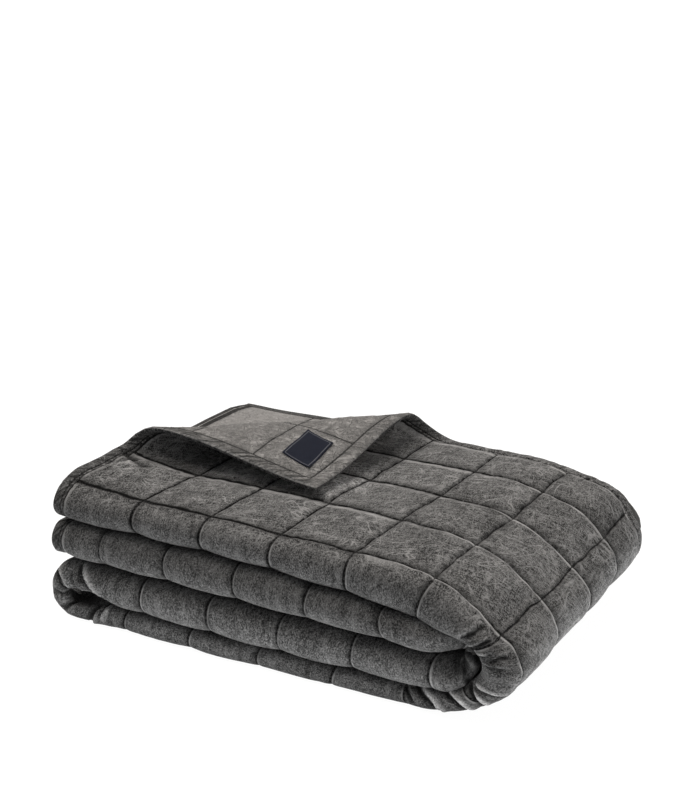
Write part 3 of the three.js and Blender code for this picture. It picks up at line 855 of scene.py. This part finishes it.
def put_folds(mesh, u, v):
    """Painted shade in creases, in the left fold's hollow and round the inner fold, a painted highlight on
    the creases' lips, and how far round a roll each point is.
    """
    folds = creases(u, v)
    hollow_painted_shade = HOLLOW_SHADE * rise(hollow(u, v), *HOLLOW_DEPTHS)
    inner_fold_painted_shade = INSIDE_SHADE * np.exp(-((u - INSIDE_MIDDLE) / INSIDE_SHADE_WIDTH) ** 2)
    # painted shade: the deepest of the crease, hollow and inner fold shades
    trough = np.max([rise(-folds, *SHADED_CREASE_DEPTHS), hollow_painted_shade, inner_fold_painted_shade], axis=0)
    # the folds attribute holds the painted crease shade, the painted lip highlight and how far round a roll
    put(mesh, "folds", np.stack([trough, rise(folds, *HIGHLIT_LIP_HEIGHTS), section(v)[2]], 1))


def quilt_mesh():
    """The whole cloth, fine where it shows, with numbers for its materials."""
    us = places(ALONG)
    columns = [(u, places(across(u))) for u in us]
    kept = {
        *thinned(us[us <= CURL_TO], U_LINES, BACK_COLUMNS_SHOWN),
        *thinned(us[us > CURL_TO], U_LINES, BACK_COLUMNS_HIDDEN),
    }
    back_columns = [(u, thinned(rows, V_LINES, BACK_ROWS)) for u, rows in columns if u in kept]
    mesh, u, v, side = closed_sheet(
        "quilt_cloth", columns, back_columns,
        lambda u, v: surface(u, v, 1), lambda u, v: surface(u, v, -1),
    )
    second = (side < 0) * smooth((v - SECOND_SHEET_V) / CELL)
    on_wrap = smooth((u - WRAP_FROM) / CELL)
    put(mesh, "cloth", np.stack([u * METRES, v * METRES, side * BACK_PATTERN_SHIFT], 1))
    put_distances(mesh, u, v, second)
    put_folds(mesh, u, v)
    # which sheet, how gathered the hem and how far onto the wrap: these place the second sheet's paler tone,
    # painted shade in the hem's pleats, and the seams' painted shade and highlights
    put(mesh, "cloth_regions", np.stack([second, np.where(u < v, *GATHERS), on_wrap], 1))
    return mesh


def label_mesh():
    """The label's cloth, a little loose at its corners, on the back of the turned corner."""
    middle_u, middle_v = np.mean(LABEL_U), np.mean(LABEL_V)

    def raised(u, v, height):
        to_corner = 4 * np.abs(u - middle_u) * np.abs(v - middle_v) / (np.ptp(LABEL_U) * np.ptp(LABEL_V))
        loose = LABEL_LOOSE * np.maximum(0, to_corner - LABEL_SEWN_TO) + wave(LABEL_WAVE, u, v)
        slanted_u = u + LABEL_SLANT[0] * (v - middle_v)
        slanted_v = v + LABEL_SLANT[1] * (u - middle_u)
        return surface(slanted_u, slanted_v, -1, LABEL_GAP + loose + height)

    vs = np.linspace(*LABEL_V, LABEL_POINTS[1])
    columns = [(u, vs) for u in np.linspace(*LABEL_U, LABEL_POINTS[0])]
    mesh, u, v, _ = closed_sheet(
        "sewn_label", columns, columns,
        lambda u, v: raised(u, v, 0), lambda u, v: raised(u, v, LABEL_THICKNESS),
    )
    inside_u = np.minimum(u - LABEL_U[0], LABEL_U[1] - u)
    inside_v = np.minimum(v - LABEL_V[0], LABEL_V[1] - v)
    put(mesh, "cloth", np.stack([u * METRES, v * METRES, np.zeros(len(u))], 1))
    put(mesh, "inside", np.minimum(inside_u, inside_v))
    return mesh


def stitch_rows():
    """Stitched lines that show: u or v, its place, from where to where on the other, and the side."""
    roll_from, roll_to = ROLL_STITCHES
    rows = [("u", line, HEM if line <= FINE_TO else roll_from, roll_to, 1) for line in U_LINES[1:-1]]
    rows += [("v", line, HEM, FINE_TO + PAST_WRAP, 1) for line in V_LINES[1:5]]
    for side in (1, -1):
        first_hem_to = WIDTH if side > 0 else SECOND_SHEET_V
        for line in HEM_LINES:
            rows += [
                ("u", line, line, min(first_hem_to, WIDTH - line), side),
                ("u", LENGTH - line, line, WIDTH - line, side),
                ("v", line, line, LENGTH - line, side),
                ("v", WIDTH - line, line, LENGTH - line, side),
            ]
    for line in U_LINES[1:4]:
        rows += [("u", line, HEM, CURL_TO, -1), ("u", line, SECOND_STITCHES_FROM, WIDTH - HEM, -1)]
    rows += [("v", line, HEM, CURL_TO, -1) for line in V_LINES[1:4]]
    rows += [("u", line * SECOND_HEM, SECOND_SHEET_V, WIDTH - line, -1) for line in HEM_LINES]
    return rows


def stitch_mesh():
    """Short lengths of thread, each dipping into the cloth at both ends."""
    points, faces, first = [], [], 0
    radius = THREAD_RADIUS * METRES
    for fixed, line, start, end, side in stitch_rows():
        middles = np.arange(start + STITCH_STEP, end - STITCH_STEP, STITCH_STEP)
        along = (middles[:, None] + STITCH_SHARES * STITCH_LENGTH).ravel()
        on_line = np.full(len(along), float(line))
        u, v = (on_line, along) if fixed == "u" else (along, on_line)
        low = surface(u, v, side, -THREAD_SINK)
        up = surface(u, v, side, 1 - THREAD_SINK) - low
        up = (up / np.linalg.norm(up, axis=1)[:, None]).reshape(-1, 4, 3)
        low = low.reshape(-1, 4, 3)
        beside = np.cross(low[:, 3] - low[:, 0], up[:, 1])
        beside /= np.linalg.norm(beside, axis=1)[:, None]
        above_floor = np.min(low[:, :, 2], axis=1) > 2 * radius
        for k in np.flatnonzero(above_floor):
            ring = [beside[k], up[k, 1], -beside[k], -up[k, 1]]
            points.append(low[k, 0])
            points += [low[k, 1] + up[k, 1] * radius + radius * r for r in ring]
            points += [low[k, 2] + up[k, 2] * radius + radius * r for r in ring]
            points.append(low[k, 3])
            for i in range(4):
                j = (i + 1) % 4
                a, b, c, d = first + 1 + i, first + 1 + j, first + 5 + j, first + 5 + i
                faces += [(first, b, a), (a, b, c, d), (first + 9, d, c)]
            first += 10
    mesh = bpy.data.meshes.new("stitching")
    mesh.from_pydata([tuple(p) for p in points], [], faces)
    mesh.polygons.foreach_set("use_smooth", np.ones(len(faces), bool))
    return mesh


class Paint:
    """A procedural material, built up node by node, with one shade laid over another."""

    def __init__(self, name, roughness, **shader_values):
        self.material = bpy.data.materials.new(name)
        self.material.use_nodes = True
        self.tree = self.material.node_tree
        self.shader = self.tree.nodes["Principled BSDF"]
        self.shader.inputs["Roughness"].default_value = roughness
        for socket, value in shader_values.items():
            self.shader.inputs[socket.replace("_", " ")].default_value = value

    def node(self, kind, inputs, **settings):
        """Adds a node and gives its outputs."""
        made = self.tree.nodes.new("ShaderNode" + kind)
        for name, value in settings.items():
            setattr(made, name, value)
        for socket, value in inputs.items():
            if isinstance(value, bpy.types.NodeSocket):
                self.tree.links.new(value, made.inputs[socket])
            else:
                made.inputs[socket].default_value = value
        return made.outputs

    def attribute(self, name, output="Vector"):
        return self.node("Attribute", {}, attribute_name=name)[output]

    def parts(self, vector):
        return self.node("SeparateXYZ", {"Vector": vector})

    def math(self, operation, a, b):
        return self.node("Math", {0: a, 1: b}, operation=operation)[0]

    def vector(self, operation, a, b):
        return self.node("VectorMath", {0: a, 1: b}, operation=operation)["Vector"]

    def times(self, *values):
        return functools.reduce(lambda a, b: self.math("MULTIPLY", a, b), values)

    def most(self, *values):
        return functools.reduce(lambda a, b: self.math("MAXIMUM", a, b), values)

    def total(self, *terms, base=0.0):
        """A base with pairs of a value and its weight added to it."""
        for value, weight in terms:
            base = self.node("Math", {0: value, 1: weight, 2: base}, operation="MULTIPLY_ADD")[0]
        return base

    def ramp(self, value, low, high, to_low=0.0, to_high=1.0):
        """A soft step between two numbers, as a value goes from low to high."""
        inputs = {"Value": value, "From Min": low, "From Max": high, "To Min": to_low, "To Max": to_high}
        return self.node("MapRange", inputs, interpolation_type="SMOOTHSTEP")["Result"]

    def near(self, value, line, none, full):
        """How close a number is to a line: 0 at the distance none and 1 at the distance full."""
        return self.ramp(self.math("ABSOLUTE", self.math("SUBTRACT", value, line), 0.0), none, full)

    def band(self, value, start, full, fade, end):
        """1 between two numbers, with soft ends."""
        return self.times(self.ramp(value, start, full), self.ramp(value, end, fade))

    def noise(self, place, scale, detail=2.0, roughness=0.5, distortion=0.0, output="Fac"):
        inputs = dict(Vector=place, Scale=scale, Detail=detail, Roughness=roughness, Distortion=distortion)
        return self.node("TexNoise", inputs)[output]

    def streaks(self, place, along, across, detail=1.0, roughness=0.5):
        """Noise with a scale of its own along and across."""
        return self.noise(self.vector("MULTIPLY", place, (along, across, 1)), 1, detail, roughness)

    def pleats(self, place, scale):
        """Noise along one slanting direction only."""
        slant = self.node("VectorMath", {0: place, 1: (1, 1, 0)}, operation="DOT_PRODUCT")["Value"]
        return self.node("TexNoise", dict(W=slant, Scale=scale, Detail=1.0), noise_dimensions="1D")["Fac"]

    def turned(self, place, degrees):
        inputs = {"Vector": place, "Angle": math.radians(degrees)}
        return self.node("VectorRotate", inputs, rotation_type="Z_AXIS")["Vector"]

    def warped(self, place, scale, amount):
        """Places moved about a little."""
        moved = self.vector("SUBTRACT", self.noise(place, scale, 3.0, output="Color"), (0.5, 0.5, 0.5))
        return self.vector("ADD", place, self.vector("MULTIPLY", moved, (amount, amount, amount)))

    def winding(self, noise, width):
        """Thin winding lines, where a noise passes through its middle."""
        return self.near(noise, 0.5, width, 0.0)

    def scratches(self, place, directions, along, across, width):
        """Winding lines drawn out in a few directions, in degrees."""
        noises = [self.streaks(self.turned(place, degrees), along, across) for degrees in directions]
        return self.most(*[self.winding(noise, width) for noise in noises])

    def blend(self, factor, a, b, mode="MIX"):
        return self.node("Mix", {0: factor, 6: a, 7: b}, data_type="RGBA", blend_type=mode)[2]

    def coat(self, shade, *factors, mode="MIX"):
        """Lays a shade over the colour, as far as the product of some factors."""
        self.colour = self.blend(self.times(*factors), self.colour, shade, mode)

    def finish(self, *bumps):
        """Sets the colour, and a normal bent by pairs of a height and its size in metres."""
        self.tree.links.new(self.colour, self.shader.inputs["Base Color"])
        bent = {}
        for height, size in bumps:
            inputs = {"Height": height, "Distance": size, "Strength": 1.0, **bent}
            bent = {"Normal": self.node("Bump", inputs)["Normal"]}
        if bent:
            self.tree.links.new(bent["Normal"], self.shader.inputs["Normal"])
        return self.material


def grey(value, warmth=0.0):
    """A warm grey: its red, green and blue, and full cover."""
    return (value * (1 + warmth), value, value * (1 - warmth), 1)


def cloth_marks(paint):
    """What the cloth's points tell both materials: places in metres, distances in millimetres."""
    at = SimpleNamespace(place=paint.attribute("cloth"))
    at.along, at.across, _ = paint.parts(at.place)
    at.gap_u, at.gap_v, at.edge = paint.parts(paint.attribute("gaps"))
    at.second, at.gathers, at.on_wrap = paint.parts(paint.attribute("cloth_regions"))
    at.in_hem = paint.ramp(at.edge, HEM + 1, HEM - 1)
    return at


def coat_pile(paint, at):
    """Crushed pile: pale specks, brushed streaks and wide soft patches."""
    at.grain = paint.noise(at.place, 950, 1)
    at.mottle = paint.noise(at.place, 45, 3, 0.45, 0.4)
    ruffled = paint.warped(at.place, 8, 0.05)
    brushed = [
        (paint.ramp(paint.streaks(paint.turned(ruffled, degrees), 60, 430, 3, 0.6), 0.36, 0.66), weight)
        for degrees, weight in ((28, 0.27), (96, 0.2))
    ]
    streaks = paint.times(paint.total(*brushed), paint.total((at.roll, -0.6), base=1.0))
    specks, patches = paint.ramp(at.grain, 0.35, 0.75), paint.noise(at.place, 9)
    tone = paint.total((specks, 0.66), (streaks, 1.0), (at.roll, 0.14), (at.mottle, 0.2), (patches, 0.28))
    paint.colour = paint.blend(paint.ramp(tone, 0.28, 1.22), grey(0.01), grey(0.18))


def coat_scratches(paint, at):
    """Pale scratches where the pile is crushed, fainter on the rolls and at the left end."""
    bent = paint.warped(at.place, 8, 0.03)
    wide = paint.scratches(bent, (20, 75, 140), 12, 46, 0.013)
    fine = paint.scratches(bent, (48, 108, 165), 22, 80, 0.02)
    broken_wide = paint.ramp(paint.noise(at.place, 26), 0.44, 0.6)
    broken_fine = paint.ramp(paint.noise(at.place, 34), 0.56, 0.42)
    scratched = paint.most(paint.times(wide, broken_wide), paint.times(fine, broken_fine, 0.7))
    on_rolls = paint.total((at.roll, -0.28), base=0.54)
    at_left = paint.total((paint.band(at.along, 1.2, 1.28, 1.36, 1.44), -0.6), base=1.0)
    lines = paint.times(scratched, on_rolls, at_left)
    paint.coat(grey(0.3), lines)
    return lines


def coat_rolls(paint, at):
    """Painted shade on the rolls, less on the lowest layer and the top one, with flecks and strokes, and
    painted light under the turned corner.
    """
    strokes = paint.streaks(paint.warped(at.place, 14, 0.02), 100, 20, 2, 0.6)
    flecks = paint.ramp(paint.noise(at.place, 680, 1), 0.5, 0.7)
    lowest = paint.band(at.along, 0.83, 0.9, 1.2, 1.28)
    topmost = paint.ramp(at.along, 0.5, 0.4)
    # painted shade on the rolled front, lighter on the lowest layer and on the top one
    paint.coat(grey(0.012), at.roll, paint.total((lowest, -0.2), (topmost, -0.14), base=0.55))
    paint.coat(grey(0.26), flecks, at.roll, 0.34)
    paint.coat(grey(0.008), paint.ramp(strokes, 0.47, 0.27), at.roll, 0.45)
    paint.coat(grey(0.2), paint.ramp(strokes, 0.54, 0.74), at.roll, 0.24)
    # painted light: the cloth under the turned corner is made paler where the corner shades it
    under_u = paint.band(at.along, 0.1, 0.17, 0.3, 0.36)
    under_v = paint.band(at.across, 0.15, 0.2, 0.27, 0.31)
    paint.coat(grey(2.3), under_u, under_v, mode="MULTIPLY")


def coat_seam_shade(paint, at):
    """Painted shade beside the stitching, more on the near side, with dashes of painted shade where small
    puckers cross it.
    """
    closer_v = paint.times(at.gap_v, paint.total((at.on_wrap, 0.3), base=0.56))
    at.close = paint.math("MINIMUM", at.gap_u, closer_v)
    # painted shade beside the stitched lines, and more on the near side of the lines across
    paint.coat(grey(0.02), paint.ramp(at.close, 9, 0), 0.4)
    paint.coat(grey(0.025), paint.ramp(at.dark_v, 20, 1), 0.4)
    pucker_u = paint.times(paint.ramp(at.gap_u, 13, 2), paint.streaks(at.place, 14, 130))
    pucker_v = paint.times(paint.ramp(at.gap_v, 13, 2), paint.streaks(at.place, 130, 14))
    pucker_shade = paint.most(paint.ramp(pucker_u, 0.42, 0.62), paint.ramp(pucker_v, 0.5, 0.7))
    # painted shade in the puckers
    paint.coat(grey(0.015), pucker_shade, 0.55)
    return paint.math("ADD", pucker_u, pucker_v)


def coat_painted_highlights(paint, at):
    """Painted highlights: rims beyond the lines across, on the right of the others, inside the hem, and on
    the lips of creases.
    """
    rims = [
        paint.times(paint.band(at.pale_u, 1.3, 2.2, 2.6, 5.5), paint.total((at.roll, 0.3), base=0.12)),
        paint.times(paint.band(at.pale_v, 1.5, 3.0, 4.0, 8.5), at.on_wrap, 0.75),
        paint.times(paint.band(at.pale_v, 3.0, 5.5, 9.0, 17.0), paint.total((at.on_wrap, -0.5), base=0.5)),
        paint.times(paint.band(at.edge, 19, 20.5, 21.5, 26), 0.4),
        paint.times(at.lip, paint.ramp(at.grain, 0.36, 0.6, 0.45, 1.0), 0.95),
    ]
    # painted highlight, broken up by the mottle
    paint.coat(grey(0.34), paint.most(*rims), paint.ramp(at.mottle, 0.35, 0.6, 0.35, 1.0))


def coat_hem(paint, at):
    """The hem's puckered band, with painted shade in its puckers, less on the wrap."""
    pleats = paint.pleats(at.place, 150)
    hem_shade_share = paint.total((paint.band(at.along, 0.25, 0.4, 0.9, 1.1), -0.75), base=1.0)
    # painted shade in the hem's puckers
    paint.coat(grey(0.018), at.in_hem, hem_shade_share, paint.ramp(pleats, 0.35, 0.62, 0.75, 0.1))
    return paint.times(at.in_hem, pleats)


def coat_lines(paint, at):
    """The stitched lines, ragged and nearly black, partly thread and partly painted shade in their grooves,
    and painted shade in the depths of the creases.
    """
    on_left = paint.ramp(at.along, 0.42, 0.12)
    wider = paint.total((at.roll, 0.35), (on_left, 0.55), (at.on_wrap, -0.35))
    ragged = paint.total((at.close, 1.0), (paint.noise(at.place, 120), 3.0), (wider, -1.0), base=-1.5)
    hem_lines = [paint.near(at.edge, line, 1.3, 0.4) for line in HEM_LINES]
    # painted shade in the stitched grooves and the crease depths, with the hem's two dark stitched lines
    dark = paint.most(paint.ramp(ragged, 2.0, 0.5), paint.times(at.trough, 0.85), *hem_lines)
    paint.coat(grey(0.002), dark, 0.97)


def velvet_paint():
    """Stone-washed charcoal velvet."""
    paint = Paint("velvet", 0.95, Specular_IOR_Level=0.06, Sheen_Weight=0.1, Sheen_Roughness=0.3)
    at = cloth_marks(paint)
    at.pale_u, at.pale_v, at.dark_v = paint.parts(paint.attribute("rims"))
    at.trough, at.lip, at.roll = paint.parts(paint.attribute("folds"))
    coat_pile(paint, at)
    lines = coat_scratches(paint, at)
    coat_rolls(paint, at)
    puckers = coat_seam_shade(paint, at)
    coat_painted_highlights(paint, at)
    hem = coat_hem(paint, at)
    coat_lines(paint, at)
    nap = paint.noise(at.place, 240, 3, 0.6, 0.3)
    return paint.finish((nap, 0.0003), (hem, 0.0028), (puckers, 0.0025), (lines, 0.0004), (at.grain, 0.0005))


def back_paint():
    """The paler back cloth, crinkled all over."""
    paint = Paint("back_cloth", 0.9, Specular_IOR_Level=0.1, Sheen_Weight=0.04, Sheen_Roughness=0.5)
    at = cloth_marks(paint)
    grain = paint.noise(at.place, 620, 3, 0.7)
    mottle = paint.noise(at.place, 60, 4, 0.62, 0.5)
    tone = paint.total((grain, 0.8), (mottle, 0.7))
    paint.colour = paint.blend(paint.ramp(tone, 0.45, 1.05), grey(0.055, WARMTH), grey(0.2, WARMTH))
    # Paler on the second sheet
    paint.coat(grey(0.36, WARMTH), at.second, 0.35)
    crinkles = paint.scratches(paint.warped(at.place, 14, 0.03), (10, 55, 100, 145), 26, 90, 0.07)
    fine_crinkles = paint.winding(paint.noise(paint.warped(at.place, 40, 0.02), 120, 1), 0.06)
    ridges = paint.times(crinkles, paint.ramp(mottle, 0.4, 0.62))
    paint.coat(grey(0.34, WARMTH), paint.most(paint.times(ridges, 0.55), paint.times(fine_crinkles, 0.25)))
    # Painted shade beside the stitching, painted shade in the hem's puckers and on the flap's hem band where
    # it turns from the light, the hem darker on the second sheet, and the stitched lines
    close = paint.math("MINIMUM", at.gap_u, at.gap_v)
    paint.coat(grey(0.03), paint.ramp(close, 9, 0), 0.3)
    pleats = paint.pleats(paint.warped(at.place, 30, 0.02), 130)
    # painted shade: the pleats, and the flap's hem band higher up, turned away from the light
    shaded = paint.most(paint.ramp(pleats, 0.38, 0.62, 1.0, 0.0), paint.ramp(at.across, 0.09, 0.16, 0.0, 0.5))
    gathered = paint.times(at.in_hem, at.gathers, shaded)
    paint.coat(grey(0.03), paint.most(gathered, paint.times(at.in_hem, at.second, 0.85)))
    paint.coat(grey(0.02), paint.ramp(at.edge, 4, 1), at.second, 0.6)
    paint.coat(grey(0.24), paint.ramp(at.edge, 3, 1), at.gathers, 0.5)
    ragged = paint.total((close, 1.0), (paint.noise(at.place, 160), 1.2), base=-0.6)
    paint.coat(grey(0.006), paint.most(paint.ramp(ragged, 1.7, 0.5), paint.near(at.edge, HEM, 1.6, 0.5)), 0.9)
    wrinkle = paint.noise(at.place, 110, 4, 0.6, 1.6)
    hem = paint.times(at.in_hem, pleats)
    return paint.finish((wrinkle, 0.0026), (ridges, 0.003), (hem, 0.003), (grain, 0.0005))


def thread_paint():
    """Dark twisted thread."""
    paint = Paint("thread", 0.7, Specular_IOR_Level=0.25)
    twist = paint.noise(paint.node("TexCoord", {})["Object"], 2500, 1)
    paint.colour = paint.blend(twist, grey(0.012), grey(0.05))
    return paint.finish((twist, 0.0002))


def label_paint():
    """Navy weave with a plain paler border."""
    paint = Paint("woven_label", 0.85, Specular_IOR_Level=0.1)
    place, inside = paint.attribute("cloth"), paint.attribute("inside", "Fac")
    weave = paint.node("TexWave", dict(Vector=place, Scale=260.0, Distortion=0.6), bands_direction="X")["Fac"]
    rib = paint.node("TexWave", dict(Vector=place, Scale=340.0, Distortion=0.4), bands_direction="Y")["Fac"]
    cloth = paint.times(weave, rib)
    paint.colour = paint.blend(cloth, LABEL_DARK, LABEL_NAVY)
    border = paint.band(inside, 2.2, 2.7, 3.3, 3.8)
    paint.coat(LABEL_BORDER, border, paint.ramp(cloth, 0.0, 0.2, 0.55, 1.0), 0.6)
    return paint.finish((cloth, 0.0003))


def floor_paint():
    """The table's white."""
    paint = Paint("floor_paint", 0.85, Emission_Color=(1, 1, 1, 1), Emission_Strength=TABLE_GLOW)
    uneven = paint.noise(paint.node("TexCoord", {})["Object"], 30)
    paint.colour = paint.blend(uneven, grey(TABLE_WHITE), grey(TABLE_WHITE + 0.02))
    return paint.finish()


def add(name, data):
    """An object in the scene."""
    made = bpy.data.objects.new(name, data)
    bpy.context.scene.collection.objects.link(made)
    return made


def add_mesh(name, mesh, *materials):
    mesh.validate()
    for material in materials:
        mesh.materials.append(material)
    return add(name, mesh)


def make_floor():
    mesh = bpy.data.meshes.new("floor")
    corners = [(x * FLOOR_HALF, y * FLOOR_HALF, 0) for x, y in ((-1, -1), (1, -1), (1, 1), (-1, 1))]
    mesh.from_pydata(corners, [], [(0, 1, 2, 3)])
    add_mesh("floor", mesh, floor_paint())


def make_camera():
    data = bpy.data.cameras.new("camera")
    data.lens = CAMERA_LENS
    data.sensor_width = CAMERA_SENSOR
    data.clip_end = CAMERA_FAR
    camera = add("camera", data)
    camera.location = CAMERA_PLACE
    camera.rotation_euler = (math.radians(90 - CAMERA_ELEVATION), 0, math.radians(CAMERA_AZIMUTH))
    bpy.context.scene.camera = camera


def make_sun(name, strength, turn):
    sun = bpy.data.lights.new(name, "SUN")
    sun.energy = strength
    sun.color = KEY_COLOUR
    sun.angle = math.radians(KEY_WIDTH)
    add(name, sun).rotation_euler = [math.radians(angle) for angle in turn]


def make_panel(name, x, y, width, depth):
    """A light that lies on the table and faces up. The camera doesn't see it."""
    panel = bpy.data.lights.new(name, "AREA")
    panel.shape = "RECTANGLE"
    panel.size = width
    panel.size_y = depth
    panel.energy = PANEL_STRENGTH * width * depth
    made = add(name, panel)
    made.location = (x, y, PANEL_HEIGHT)
    made.rotation_euler = (math.pi, 0, 0)
    made.visible_camera = False


def make_lights():
    make_sun("key", KEY_STRENGTH, KEY_TURN)
    make_sun("side", SIDE_STRENGTH, SIDE_TURN)
    for i, panel in enumerate(PANELS):
        make_panel(f"panel_{i}", **panel)
    world = bpy.data.worlds.new("studio")
    world.use_nodes = True
    background = world.node_tree.nodes["Background"]
    background.inputs["Color"].default_value = (1, 1, 1, 1)
    background.inputs["Strength"].default_value = FILL_STRENGTH
    bpy.context.scene.world = world


make_floor()
make_camera()
make_lights()
bpy.context.scene.view_settings.view_transform = "Standard"

label_cloth = label_paint()
quilt = add_mesh("quilt_cloth", quilt_mesh(), velvet_paint(), back_paint())
label = add_mesh("sewn_label", label_mesh(), label_cloth, label_cloth)
stitching = add_mesh("stitching", stitch_mesh(), thread_paint())
for piece in (quilt, label, stitching):
    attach(piece, "root")
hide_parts("quilt")
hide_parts("label")
